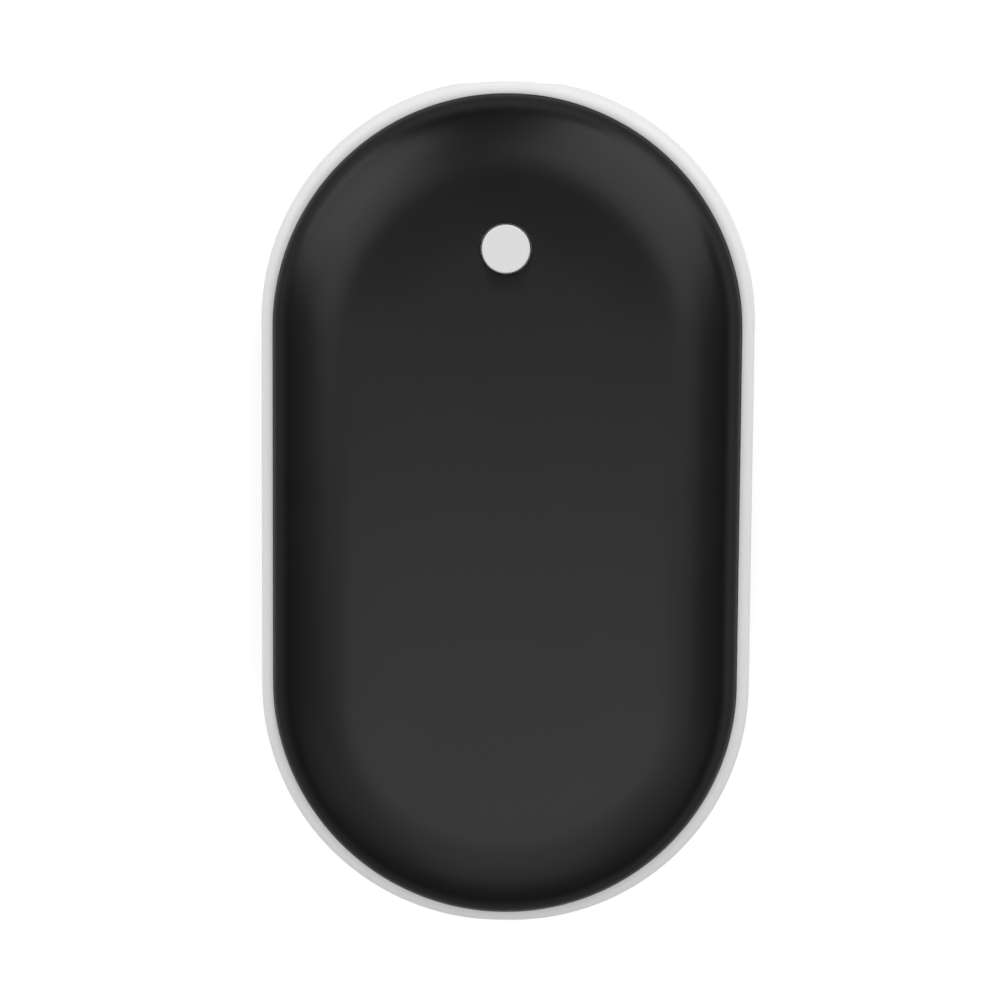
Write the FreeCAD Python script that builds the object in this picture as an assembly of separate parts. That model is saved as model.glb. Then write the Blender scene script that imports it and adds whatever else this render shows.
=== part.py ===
import FreeCAD, Part
import math
import os

from FreeCAD import Vector

# Pocket hand warmer: two drawn covers, a moulded band between them, and two round cells inside.
# It lies on its rear cover: +Z points out of the front cover, +Y to the button end, millimetres.

# Round lithium cells, side by side along Y
cell_diameter = 18.4
cell_length = 65.0
cell_gap = 0.4
cell_clearance = 0.2
cell_corner_clearance = 0.15
cell_edge_round = 0.9
cell_groove_depth = 0.8
cell_groove_width = 2.0
cell_groove_from_end = 4.0
cell_crimp_width = 5.2
cell_cap_rise = 0.5
washer_thickness = 0.25
washer_rim = 0.7
strip_thickness = 0.15
strip_width = 7.0
strip_overhang = 4.0

# Layers between the cells and the outer faces
chassis_floor = 0.85
foam_thickness = 1.2
foam_inset = 0.6
heater_thickness = 0.25
heater_spread = 3.0
cover_wall = 0.8

# Shape of the drawn covers
cover_skirt = 0.2
crown_rise = 0.38
crown_angle = 5.4
shoulder_rise = 2.6
shoulder_angle = 31.5

# Band round the middle
band_height = 8.6
band_overhang = 1.85
band_land = 0.1
band_crown_angle = 12.0
band_square = 0.7
band_root = 0.4
seam_gap = 0.12
rabbet_depth = 0.8
bond_thickness = 0.2
bond_side_gap = 0.05
lip_height = 1.3
lip_wall = 1.0
lip_clearance = 0.1
lip_chamfer = 0.3

# Inner chassis: a tray behind and a carrier in front, clamped on lugs of the band
chassis_gap = 0.4
chassis_wall = 1.0
chassis_bevel = 4.4
lug_height = 5.0
lug_spacing = 30.0
boss_diameter = 5.0
boss_to_cell = 2.0
boss_to_wall = 0.75
saddle_count = 3
saddle_thickness = 1.6
saddle_height = 3.2
saddle_spacing = 20.0
saddle_end_margin = 1.6
bulkhead_thickness = 1.0
bulkhead_gap = 0.25

# Clamp screws
screw_core = 1.9
screw_clearance = 0.2
screw_head_diameter = 3.5
screw_head_height = 1.3
screw_head_round = 0.35
screw_recess_gap = 0.2
screw_seat_depth = 4.2
screw_tip_gap = 0.6
screw_point = 0.4
pilot_gap = 0.05
pilot_cover = 0.9
drive_width = 0.6
drive_length = 2.0
drive_depth = 0.6

# Bay for the circuit board at the button end
bay_length = 26.6
board_thickness = 1.2
board_gap = 0.3
board_half_width = 20.0
board_tab_width = 14.0
board_tab_gap = 0.4
board_screw_x = 17.5
board_screw_y = 2.9
board_screw_core = 1.5
board_screw_length = 4.4
board_head_diameter = 3.0
board_head_height = 1.0
standoff_diameter = 4.6
peg_x = 9.0
peg_from_edge = 2.6
peg_diameter = 3.2

# Charging socket
port_width = 8.94
port_height = 3.26
port_depth = 7.35
port_sheet = 0.3
port_clearance = 0.2
port_setback = 0.3
port_flat_depth = 0.8
port_flat_width = 13.0
port_flat_height = 6.0
port_body_depth = 2.2
tongue_width = 6.7
tongue_thickness = 0.7
tongue_length = 4.4
contact_count = 3
contact_pitch = 1.6
contact_width = 0.5
contact_length = 3.4
contact_thickness = 0.08

# Push switch under the button
switch_from_cells = 6.4
switch_size = 6.0
switch_base_height = 3.2
switch_height = 8.0
switch_plate_sheet = 0.3
switch_cavity_diameter = 5.2
switch_cavity_floor = 1.5
plunger_diameter = 3.5
plunger_flange_diameter = 4.6
plunger_gap = 0.15
plunger_play = 0.05
plunger_chamfer = 0.3
dome_diameter = 4.4
dome_rise = 0.45
dome_thickness = 0.1
contact_play = 0.02
leg_width = 0.7
leg_sheet = 0.3
leg_pitch = 4.5
leg_length = 1.6

# Push button
button_diameter = 5.8
button_gap = 0.2
button_proud = 0.5
button_edge = 0.4
button_hole_bevel = 0.15
flange_diameter = 7.8
flange_gap = 0.25
stem_diameter = 4.8
guide_clearance = 0.1
guide_wall = 1.1
guide_length = 4.0
press_travel = 0.3
press_margin = 0.15
heater_to_button = 1.7

# Board components: width, depth and height, with places across the board or from the switch axis
component_edge_gap = 0.4
light_size = (1.6, 0.8, 0.7)
light_offset = 4.6
coil_size = (7.0, 7.0, 3.0)
coil_x = -10.8
coil_round = 1.4
chip_size = (8.65, 3.9, 1.5)
chip_x = 11.55
chip_lead_count = 7
charger_size = (4.9, 3.9, 1.5)
charger_place = (8.2, 1.5)
charger_lead_count = 4
chip_lead_pitch = 1.27
chip_lead_width = 0.4
chip_lead_reach = 0.9
chip_lead_sheet = 0.2
transistor_size = (2.9, 1.3, 1.1)
transistor_place = (12.9, 0.9)
transistor_pitch = 2.0
transistor_count = 2
capacitor_size = (2.0, 1.25, 1.2)
capacitor_place = (-8.0, 0.2)
capacitor_pitch = 1.9
capacitor_count = 3
resistor_size = (1.6, 0.8, 0.45)
resistor_place = (-2.4, 0.6)
resistor_pitch = 1.6
resistor_column = 2.4
resistor_count = 3

# Sensor and leads
sensor_diameter = 1.1
sensor_length = 3.0
sensor_y = 8.0
sensor_lead_diameter = 0.7
sensor_lead_bend = 2.1
sensor_lead_from_edge = 1.4
heater_lead_diameter = 1.0
heater_lead_bend = 3.0
heater_lead_run = 6.0
rear_lead_x = 4.0
rear_lead_from_edge = 2.0
front_lead_x = 6.5
front_lead_from_edge = 3.4
lead_slot_gap = 0.3
solder_height = 0.05
lead_diameter = 1.3
lead_bend = 2.7
positive_lead_run = 3.1
negative_lead_x = 8.6
negative_lead_from_edge = 1.5
negative_lead_lift = 3.3
negative_lead_climb = 9.0

# Sizes that follow from the ones above
cell_radius = cell_diameter / 2
cell_cap_diameter = cell_diameter - 2 * cell_crimp_width
cell_x = (cell_diameter + cell_gap) / 2
layer_stack = cell_clearance + chassis_floor + foam_thickness + heater_thickness + cover_wall
body_thickness = cell_diameter + 2 * layer_stack
mid_z = body_thickness / 2

boss_x = cell_x + cell_radius + boss_to_cell + boss_diameter / 2
chassis_r = boss_x + boss_diameter / 2 + boss_to_wall
frame_inner_r = chassis_r + chassis_gap
lip_r = frame_inner_r + lip_wall
cover_inner_r = lip_r + lip_clearance
cover_r = cover_inner_r + cover_wall
band_r = cover_r + band_overhang
body_width = 2 * band_r

cell_room_r = chassis_r - chassis_wall - cell_corner_clearance
cell_reach = math.sqrt(cell_room_r ** 2 - (cell_x + cell_radius) ** 2)
body_length = bay_length + cell_length + band_r - cell_reach
end_y = (body_length - body_width) / 2
cell_back_y = -end_y - cell_reach
cell_front_y = cell_back_y + cell_length

seam_z = mid_z + band_height / 2
ledge_z = seam_z - rabbet_depth
cover_edge_z = ledge_z + bond_thickness
lip_top_z = seam_z + lip_height
crown_turn = math.radians(crown_angle)
shoulder_turn = math.radians(shoulder_angle)
edge_rise = body_thickness - seam_z - cover_skirt - shoulder_rise - crown_rise
edge_radius = edge_rise / math.cos(shoulder_turn)
shoulder_radius = shoulder_rise / (math.cos(crown_turn) - math.cos(shoulder_turn))
crown_radius = crown_rise / (1 - math.cos(crown_turn))
edge_centre_r = cover_r - edge_radius
edge_centre_z = seam_z + cover_skirt
shoulder_centre_r = edge_centre_r + (edge_radius - shoulder_radius) * math.sin(shoulder_turn)
shoulder_centre_z = edge_centre_z + (edge_radius - shoulder_radius) * math.cos(shoulder_turn)
flat_r = shoulder_centre_r + (shoulder_radius - crown_radius) * math.sin(crown_turn)
crown_centre_z = body_thickness - crown_radius

heater_r = flat_r + heater_spread
cover_floor_z = cover_wall
heater_top_z = cover_floor_z + heater_thickness
chassis_back_z = heater_top_z + foam_thickness
chassis_floor_z = chassis_back_z + chassis_floor
chassis_rim_z = mid_z - lug_height / 2
carrier_face_z = body_thickness - chassis_back_z
cover_inner_z = body_thickness - cover_wall
pilot_diameter = screw_core + 2 * pilot_gap
pilot_past_bevel = boss_x + pilot_diameter / 2 - chassis_r + chassis_bevel
pilot_top_z = carrier_face_z - pilot_past_bevel - pilot_cover

washer_front_y = cell_front_y
strip_front_y = washer_front_y + cell_cap_rise
bulkhead_y = strip_front_y + strip_thickness + bulkhead_gap
board_back_y = bulkhead_y + bulkhead_thickness + board_gap
switch_y = cell_front_y + switch_from_cells
board_top_z = mid_z - port_height / 2
board_bottom_z = board_top_z - board_thickness
board_r = chassis_r - chassis_wall - board_gap
board_tab_y = end_y + frame_inner_r - board_tab_gap
port_flat_y = body_length / 2 - port_flat_depth
port_mouth_y = port_flat_y - port_setback
port_back_y = port_mouth_y - port_depth
board_screw_place_y = board_back_y + board_screw_y
peg_y = end_y + math.sqrt(board_r ** 2 - peg_x ** 2) - peg_from_edge

plunger_top_z = board_top_z + switch_height
dome_seat_z = board_top_z + switch_cavity_floor
plunger_bottom_z = dome_seat_z + dome_rise + contact_play
plate_bottom_z = board_top_z + switch_base_height
flange_bottom_z = carrier_face_z + press_travel + press_margin
flange_top_z = cover_inner_z - flange_gap
button_top_z = body_thickness + button_proud
stem_bottom_z = plunger_top_z + contact_play
front_heater_end = switch_y - flange_diameter / 2 - heater_to_button

sensor_lead_y = board_back_y + sensor_lead_from_edge
rear_lead_y = board_back_y + rear_lead_from_edge
rear_lead_start = rear_lead_y - heater_lead_run
front_lead_y = board_back_y + front_lead_from_edge
front_lead_start = front_heater_end - heater_lead_run


# Small builders
def box(x0, x1, y0, y1, z0, z1):
    return Part.makeBox(x1 - x0, y1 - y0, z1 - z0, Vector(x0, y0, z0))


def rod(x, y, z0, z1, diameter):
    return Part.makeCylinder(diameter / 2, z1 - z0, Vector(x, y, z0))


def rod_along_y(x, y0, y1, z, diameter):
    return Part.makeCylinder(diameter / 2, y1 - y0, Vector(x, y0, z), Vector(0, 1, 0))


def line(a, b):
    return Part.LineSegment(Vector(*a), Vector(*b)).toShape()


def arc(centre, radius, start, end):
    # Arc in the XZ plane, angles in degrees from +X towards +Z
    points = []
    for degrees in (start, (start + end) / 2, end):
        turn = math.radians(degrees)
        points.append(Vector(centre[0] + radius * math.cos(turn), 0, centre[1] + radius * math.sin(turn)))
    return Part.Arc(*points).toShape()


def on_xz(points):
    return [(x, 0, z) for x, z in points]


def polygon(points):
    corners = [Vector(*point) for point in points]
    return Part.Face(Part.makePolygon(corners + corners[:1]))


def spin(points, x, y):
    # Solid of revolution about a vertical axis, from its half profile of radius and height
    face = polygon(on_xz(points))
    return face.revolve(Vector(0, 0, 0), Vector(0, 0, 1), 360).translated(Vector(x, y, 0))


def stadium(radius, y_back, y_front, z0, z1):
    # Plate with round ends
    back = y_back + radius
    front = y_front - radius
    top = Part.Arc(Vector(radius, front, z0), Vector(0, y_front, z0), Vector(-radius, front, z0)).toShape()
    bottom = Part.Arc(Vector(-radius, back, z0), Vector(0, y_back, z0), Vector(radius, back, z0)).toShape()
    left = line((-radius, front, z0), (-radius, back, z0))
    right = line((radius, back, z0), (radius, front, z0))
    return Part.Face(Part.Wire([top, left, bottom, right])).extrude(Vector(0, 0, z1 - z0))


def slot_along_y(width, height, y0, y1, x, z):
    # Prism along Y with a section of straight top and bottom and round sides
    low = z - height / 2
    high = z + height / 2
    near = x - (width - height) / 2
    far = x + (width - height) / 2
    right = Part.Arc(Vector(far, y0, low), Vector(x + width / 2, y0, z), Vector(far, y0, high)).toShape()
    left = Part.Arc(Vector(near, y0, high), Vector(x - width / 2, y0, z), Vector(near, y0, low)).toShape()
    top = line((far, y0, high), (near, y0, high))
    bottom = line((near, y0, low), (far, y0, low))
    return Part.Face(Part.Wire([right, top, left, bottom])).extrude(Vector(0, y1 - y0, 0))


def around(profile):
    # Carries a profile, drawn out from the centre line, round the whole stadium outline
    end = profile.revolve(Vector(0, 0, 0), Vector(0, 0, 1), 180)
    front = end.translated(Vector(0, end_y, 0))
    side = profile.translated(Vector(0, -end_y, 0)).extrude(Vector(0, 2 * end_y, 0))
    pieces = [half_turned(front), side, half_turned(side)]
    return front.fuse(pieces).removeSplitter()


def around_square(profile):
    # The same round the band's own outline, whose corners stand out a little from a stadium's
    corner_y = end_y + band_square
    corner = profile.revolve(Vector(0, 0, 0), Vector(0, 0, 1), 90)
    right = corner.translated(Vector(band_square, corner_y, 0))
    left = quarter_turned(corner).translated(Vector(-band_square, corner_y, 0))
    side = profile.translated(Vector(band_square, -corner_y, 0)).extrude(Vector(0, 2 * corner_y, 0))
    end = quarter_turned(profile).translated(Vector(-band_square, corner_y, 0))
    front = end.extrude(Vector(2 * band_square, 0, 0))
    half = [right, left, side, front]
    pieces = half[1:] + [half_turned(piece) for piece in half]
    return right.fuse(pieces).removeSplitter()


def quarter_turned(shape):
    turned = shape.copy()
    turned.rotate(Vector(0, 0, 0), Vector(0, 0, 1), 90)
    return turned


def half_turned(shape):
    # The same shape turned half round about the vertical axis
    turned = shape.copy()
    turned.rotate(Vector(0, 0, 0), Vector(0, 0, 1), 180)
    return turned


def turned_over(shape):
    # The same shape on the other side of the middle plane
    turned = shape.copy()
    turned.rotate(Vector(0, 0, mid_z), Vector(0, 1, 0), 180)
    return turned


def lead(points, diameter, bend):
    # Wire along straight runs joined by tangent arcs
    corners = [Vector(*point) for point in points]
    edges = []
    start = corners[0]
    for before, corner, after in zip(corners, corners[1:], corners[2:]):
        towards = (before - corner).normalize()
        away = (after - corner).normalize()
        turn = math.pi - towards.getAngle(away)
        setback = bend * math.tan(turn / 2)
        first = corner + towards * setback
        last = corner + away * setback
        inwards = (towards + away).normalize()
        centre = corner + inwards * (bend / math.cos(turn / 2))
        edges.append(Part.LineSegment(start, first).toShape())
        edges.append(Part.Arc(first, centre - inwards * bend, last).toShape())
        start = last
    edges.append(Part.LineSegment(start, corners[-1]).toShape())
    path = Part.Wire(edges)
    section = Part.Wire(Part.makeCircle(diameter / 2, corners[0], corners[1] - corners[0]))
    return path.makePipeShell([section], True, False)


def lead_slot(x, corner_y, diameter, bend, z0, z1):
    # Slot that a lead needs where it turns through a wall
    half = diameter / 2 + lead_slot_gap
    return box(x - half, x + half, corner_y - bend, corner_y + half, z0, z1)


def on_board(size, x, y):
    # Component body on the upper face of the board, centred on x, y
    width, depth, height = size
    return box(x - width / 2, x + width / 2, y - depth / 2, y + depth / 2, board_top_z, board_top_z + height)


def under_board(shape):
    # The same component moved to the lower face
    return shape.mirror(Vector(0, 0, (board_top_z + board_bottom_z) / 2), Vector(0, 0, 1))


def front_place(size, x, reach):
    # Middle of a component that stands back from the board's round front edge
    corner = abs(x) + size[0] / 2
    return end_y + math.sqrt(board_r ** 2 - corner ** 2) - component_edge_gap - reach - size[1] / 2


# Covers
def cover_shell():
    # Front cover before its hole: an even wall with a flat middle, a soft crown and a full shoulder
    inner_edge = edge_radius - cover_wall
    inner_shoulder = shoulder_radius - cover_wall
    inner_crown = crown_radius - cover_wall
    edge_centre = (edge_centre_r, edge_centre_z)
    shoulder_centre = (shoulder_centre_r, shoulder_centre_z)
    crown_centre = (flat_r, crown_centre_z)
    steep = 90 - shoulder_angle
    gentle = 90 - crown_angle
    wall = [
        line((cover_r, 0, cover_edge_z), (cover_r, 0, edge_centre_z)),
        arc(edge_centre, edge_radius, 0, steep),
        arc(shoulder_centre, shoulder_radius, steep, gentle),
        arc(crown_centre, crown_radius, gentle, 90),
        line((flat_r, 0, body_thickness), (0, 0, body_thickness)),
        line((0, 0, body_thickness), (0, 0, cover_inner_z)),
        line((0, 0, cover_inner_z), (flat_r, 0, cover_inner_z)),
        arc(crown_centre, inner_crown, 90, gentle),
        arc(shoulder_centre, inner_shoulder, gentle, steep),
        arc(edge_centre, inner_edge, steep, 0),
        line((cover_inner_r, 0, edge_centre_z), (cover_inner_r, 0, cover_edge_z)),
        line((cover_inner_r, 0, cover_edge_z), (cover_r, 0, cover_edge_z)),
    ]
    return around(Part.Face(Part.Wire(wall)))


def front_cover():
    # The hole's upper edge is broken by a small bevel
    r = button_diameter / 2 + button_gap
    low = cover_inner_z - cover_wall
    high = body_thickness + button_hole_bevel
    profile = [
        (0, low),
        (r, low),
        (r, body_thickness - button_hole_bevel),
        (r + 2 * button_hole_bevel, high),
        (0, high),
    ]
    return cover_shell().cut(spin(profile, 0, switch_y))


def rear_cover():
    return turned_over(cover_shell())


def front_bond():
    inner = lip_r + bond_side_gap
    outer = cover_r + seam_gap - bond_side_gap
    section = [(inner, ledge_z), (outer, ledge_z), (outer, cover_edge_z), (inner, cover_edge_z)]
    return around(polygon(on_xz(section)))


def rear_bond():
    return turned_over(front_bond())


# Band
def band_ring():
    # Softly bellied outside with round corners, a ledge for each cover and a lip inside it
    rabbet_r = cover_r + seam_gap
    rabbet = [(lip_r, ledge_z), (rabbet_r, ledge_z), (rabbet_r, lip_top_z), (lip_r, lip_top_z)]
    front_rabbet = around(polygon(on_xz(rabbet)))
    return band_outside().fuse(band_lips()).cut([front_rabbet, turned_over(front_rabbet)]).removeSplitter()


def band_outside():
    # Section from the outside in as far as the lips, measured from the outline's own corner centres
    top = seam_z
    bottom = body_thickness - seam_z
    outer_x = band_r - band_square
    corner_x = cover_r + seam_gap + band_land - band_square
    root_x = frame_inner_r + band_root - band_square
    turn = math.radians(band_crown_angle)
    slope = math.tan(turn / 2)
    reach = outer_x - corner_x - slope * band_height / 2
    corner_r = reach / (math.cos(turn) - slope * (1 - math.sin(turn)))
    belly_r = (band_height / 2 - corner_r * (1 - math.sin(turn))) / math.sin(turn)
    section = [
        arc((outer_x - belly_r, mid_z), belly_r, -band_crown_angle, band_crown_angle),
        arc((corner_x, top - corner_r), corner_r, band_crown_angle, 90),
        line((corner_x, 0, top), (root_x, 0, top)),
        line((root_x, 0, top), (root_x, 0, bottom)),
        line((root_x, 0, bottom), (corner_x, 0, bottom)),
        arc((corner_x, bottom + corner_r), corner_r, 270, 360 - band_crown_angle),
    ]
    return around_square(Part.Face(Part.Wire(section)))


def band_lips():
    # Inner wall whose two lips reach up inside the covers
    low_lip = body_thickness - lip_top_z
    section = [
        (frame_inner_r, low_lip),
        (lip_r - lip_chamfer, low_lip),
        (lip_r, low_lip + lip_chamfer),
        (lip_r, lip_top_z - lip_chamfer),
        (lip_r - lip_chamfer, lip_top_z),
        (frame_inner_r, lip_top_z),
    ]
    return around(polygon(on_xz(section)))


def boss_places():
    return [(x, y) for x in (-boss_x, boss_x) for y in (-lug_spacing / 2, lug_spacing / 2)]


def lug(x, y):
    # Rounded pad on the inside of the band that the two chassis halves clamp
    side = math.copysign(1, x)
    half = boss_diameter / 2
    root = side * (frame_inner_r + lip_wall / 2)
    low = mid_z - lug_height / 2
    high = mid_z + lug_height / 2
    pad = box(min(x, root), max(x, root), y - half, y + half, low, high)
    return pad.fuse(rod(x, y, low, high, boss_diameter))


def mid_frame():
    frame = band_ring().fuse([lug(x, y) for x, y in boss_places()]).removeSplitter()
    holes = []
    for x, y in boss_places():
        holes.append(rod(x, y, 0, body_thickness, screw_core + 2 * screw_clearance))
    beyond = body_length / 2 + port_flat_depth
    inside = end_y + frame_inner_r - lip_wall
    width = port_width + 2 * port_clearance
    height = port_height + 2 * port_clearance
    holes.append(slot_along_y(width, height, inside, beyond, 0, mid_z))
    holes.append(slot_along_y(port_flat_width, port_flat_height, port_flat_y, beyond, 0, mid_z))
    return frame.cut(holes)


# Inner chassis
def chassis_shell():
    # Shallow dish in the rear half, with saddles for the cells
    slant = math.sqrt(2) * chassis_wall
    inner_r = chassis_r - chassis_wall
    section = [
        (0, chassis_back_z),
        (chassis_r - chassis_bevel, chassis_back_z),
        (chassis_r, chassis_back_z + chassis_bevel),
        (chassis_r, chassis_rim_z),
        (inner_r, chassis_rim_z),
        (inner_r, chassis_back_z + chassis_bevel + slant - chassis_wall),
        (chassis_r - chassis_bevel - slant + chassis_floor, chassis_floor_z),
        (0, chassis_floor_z),
    ]
    return around(polygon(on_xz(section))).fuse(saddles())


def saddles():
    # Cross ribs cut to the round of the two cells
    half_width = cell_x + cell_radius - saddle_end_margin
    middle = (cell_back_y + cell_front_y) / 2
    beds = []
    for side in (-1, 1):
        diameter = cell_diameter + 2 * cell_clearance
        beds.append(rod_along_y(side * cell_x, cell_back_y, cell_front_y, mid_z, diameter))
    ribs = []
    for index in range(saddle_count):
        y = middle + (index - (saddle_count - 1) / 2) * saddle_spacing
        low = chassis_back_z + chassis_floor / 2
        rib = box(-half_width, half_width, y - saddle_thickness / 2, y + saddle_thickness / 2,
                  low, chassis_floor_z + saddle_height)
        ribs.append(rib.cut(beds))
    return ribs


def chassis_room():
    # Outer form of a chassis half, which its bosses stay within
    section = [
        (0, chassis_back_z),
        (chassis_r - chassis_bevel, chassis_back_z),
        (chassis_r, chassis_back_z + chassis_bevel),
        (chassis_r, chassis_rim_z),
        (0, chassis_rim_z),
    ]
    return around(polygon(on_xz(section)))


def cell_tray():
    posts = []
    cuts = []
    root = chassis_floor_z - chassis_floor / 2
    slot_top = chassis_floor_z + chassis_floor
    seat_z = chassis_back_z + screw_seat_depth
    for x, y in boss_places():
        posts.append(rod(x, y, root, chassis_rim_z, boss_diameter))
        cuts.append(rod(x, y, 0, mid_z, screw_core + 2 * screw_clearance))
        cuts.append(rod(x, y, 0, seat_z, screw_head_diameter + 2 * screw_recess_gap))
    for side in (-1, 1):
        x = side * board_screw_x
        posts.append(rod(x, board_screw_place_y, root, board_bottom_z, standoff_diameter))
        pilot = board_screw_core + 2 * pilot_gap
        cuts.append(rod(x, board_screw_place_y, chassis_floor_z + chassis_floor, board_bottom_z, pilot))
        posts.append(rod(side * peg_x, peg_y, root, board_bottom_z, peg_diameter))
        cuts.append(lead_slot(side * rear_lead_x, rear_lead_y, heater_lead_diameter, heater_lead_bend,
                              0, slot_top))
    half_width = cell_x + cell_radius - saddle_end_margin
    bulkhead_front = bulkhead_y + bulkhead_thickness
    posts.append(box(-half_width, half_width, bulkhead_y, bulkhead_front, root, chassis_rim_z))
    notch = board_tab_width / 2 + board_gap
    cuts.append(box(-notch, notch, port_back_y, end_y + frame_inner_r, board_bottom_z - board_gap, mid_z))
    cuts.append(lead_slot(0, sensor_lead_y, sensor_lead_diameter, sensor_lead_bend, 0, slot_top))
    trimmed = [post.common(chassis_room()) for post in posts]
    return chassis_shell().fuse(trimmed).cut(cuts).removeSplitter()


def cell_carrier():
    rim = body_thickness - chassis_rim_z
    root = carrier_face_z - chassis_floor / 2
    posts = []
    cuts = []
    for x, y in boss_places():
        posts.append(rod(x, y, rim, root, boss_diameter))
        posts.append(boss_web(x, y, rim))
        cuts.append(rod(x, y, rim, pilot_top_z, pilot_diameter))
    bore = stem_diameter + 2 * guide_clearance
    posts.append(rod(0, switch_y, carrier_face_z - guide_length, root, bore + 2 * guide_wall))
    cuts.append(rod(0, switch_y, carrier_face_z - 2 * guide_length, body_thickness, bore))
    for side in (-1, 1):
        cuts.append(lead_slot(side * front_lead_x, front_lead_y, heater_lead_diameter, heater_lead_bend,
                              root - chassis_floor, body_thickness))
    room = turned_over(chassis_room())
    trimmed = [post.common(room) for post in posts]
    return turned_over(chassis_shell()).fuse(trimmed).cut(cuts).removeSplitter()


def boss_web(x, y, rim):
    # Short rib that ties a boss to the side wall of the carrier
    side = math.copysign(1, x)
    wall = side * (chassis_r - chassis_wall / 2)
    half = saddle_thickness / 2
    return box(min(x, wall), max(x, wall), y - half, y + half, rim, rim + lug_height / 2)


def clamp_screws():
    # Pan heads in the tray, shanks through the band's lugs into the carrier
    seat_z = chassis_back_z + screw_seat_depth
    tip_z = pilot_top_z - screw_tip_gap
    screws = []
    for x, y in boss_places():
        screw = pan_screw(seat_z - screw_head_height, seat_z, tip_z, screw_head_diameter, screw_core)
        screws.append(screw.translated(Vector(x, y, 0)))
    return Part.makeCompound(screws)


def pan_screw(head_z, seat_z, tip_z, head_diameter, core):
    # Screw on the Z axis with its head at head_z, a cross recess and a pointed tip
    head = head_diameter / 2
    way = math.copysign(1, tip_z - seat_z)
    profile = [
        (0, head_z),
        (head - screw_head_round, head_z),
        (head, head_z + way * screw_head_round),
        (head, seat_z),
        (core / 2, seat_z),
        (core / 2, tip_z - way * core / 2),
        (screw_point / 2, tip_z),
        (0, tip_z),
    ]
    screw = spin(profile, 0, 0)
    deep = head_z + way * drive_depth
    low = min(head_z, deep)
    high = max(head_z, deep)
    slots = [
        box(-drive_length / 2, drive_length / 2, -drive_width / 2, drive_width / 2, low, high),
        box(-drive_width / 2, drive_width / 2, -drive_length / 2, drive_length / 2, low, high),
    ]
    return screw.cut(slots)


# Cells
def cell(x):
    # Round cell lying along Y, with its crimped neck and raised cap at the button end
    r = cell_radius
    shoulder = cell_length - cell_edge_round
    groove = cell_length - cell_groove_from_end
    half = cell_groove_width / 2
    profile = [
        (0, 0),
        (r - cell_edge_round, 0),
        (r, cell_edge_round),
        (r, groove - half),
        (r - cell_groove_depth, groove),
        (r, groove + half),
        (r, shoulder),
        (r - cell_edge_round, cell_length),
        (cell_cap_diameter / 2, cell_length),
        (cell_cap_diameter / 2, cell_length + cell_cap_rise),
        (0, cell_length + cell_cap_rise),
    ]
    solid = spin(profile, 0, 0)
    solid.rotate(Vector(0, 0, 0), Vector(1, 0, 0), -90)
    return solid.translated(Vector(x, cell_back_y, mid_z))


def cell_washers():
    rings = []
    for x in (-cell_x, cell_x):
        outer = rod_along_y(x, washer_front_y, washer_front_y + washer_thickness, mid_z,
                            cell_diameter - 2 * cell_edge_round)
        hole = rod_along_y(x, washer_front_y, washer_front_y + washer_thickness, mid_z,
                           cell_cap_diameter + 2 * washer_rim)
        rings.append(outer.cut(hole))
    return Part.makeCompound(rings)


def strip(y):
    # Welded strip across both cells
    return slot_along_y(2 * cell_x + 2 * strip_overhang, strip_width, y, y + strip_thickness, 0, mid_z)


# Board and its fittings
def main_board():
    low = board_bottom_z
    high = board_top_z
    sheet = stadium(board_r, -end_y - board_r, end_y + board_r, low, high)
    bay = box(-board_half_width, board_half_width, board_back_y, end_y + board_r, low, high)
    tab = box(-board_tab_width / 2, board_tab_width / 2, port_back_y, board_tab_y, low, high)
    board = sheet.common(bay).fuse(tab.common(inner_outline()))
    holes = []
    for side in (-1, 1):
        holes.append(rod(side * board_screw_x, board_screw_place_y, 0, body_thickness,
                         board_screw_core + 2 * screw_clearance))
    return board.cut(holes).removeSplitter()


def inner_outline():
    r = frame_inner_r - board_tab_gap
    return stadium(r, -end_y - r, end_y + r, board_bottom_z, board_top_z)


def board_screws():
    screws = []
    for side in (-1, 1):
        screw = pan_screw(board_top_z + board_head_height, board_top_z, board_top_z - board_screw_length,
                          board_head_diameter, board_screw_core)
        screws.append(screw.translated(Vector(side * board_screw_x, board_screw_place_y, 0)))
    return Part.makeCompound(screws)


def port_shell():
    outer = slot_along_y(port_width, port_height, port_back_y, port_mouth_y, 0, mid_z)
    inner = slot_along_y(port_width - 2 * port_sheet, port_height - 2 * port_sheet,
                         port_back_y, port_mouth_y, 0, mid_z)
    return outer.cut(inner)


def port_body():
    # Insulator that closes the shell at the back and carries the tongue
    block = slot_along_y(port_width - 2 * port_sheet, port_height - 2 * port_sheet,
                         port_back_y, port_back_y + port_body_depth, 0, mid_z)
    tip = port_back_y + port_body_depth + tongue_length
    tongue = box(-tongue_width / 2, tongue_width / 2, port_back_y, tip,
                 mid_z - tongue_thickness / 2, mid_z + tongue_thickness / 2)
    return block.fuse(tongue).removeSplitter()


def port_contacts():
    # Flat contacts on both faces of the tongue
    start = port_back_y + port_body_depth
    blades = []
    for face in (-1, 1):
        near = mid_z + face * tongue_thickness / 2
        far = near + face * contact_thickness
        for index in range(contact_count):
            x = (index - (contact_count - 1) / 2) * contact_pitch
            blades.append(box(x - contact_width / 2, x + contact_width / 2, start, start + contact_length,
                              min(near, far), max(near, far)))
    return Part.makeCompound(blades)


# Push switch and button
def switch_base():
    half = switch_size / 2
    block = box(-half, half, switch_y - half, switch_y + half, board_top_z, plate_bottom_z)
    return block.cut(rod(0, switch_y, dome_seat_z, plate_bottom_z, switch_cavity_diameter))


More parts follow.
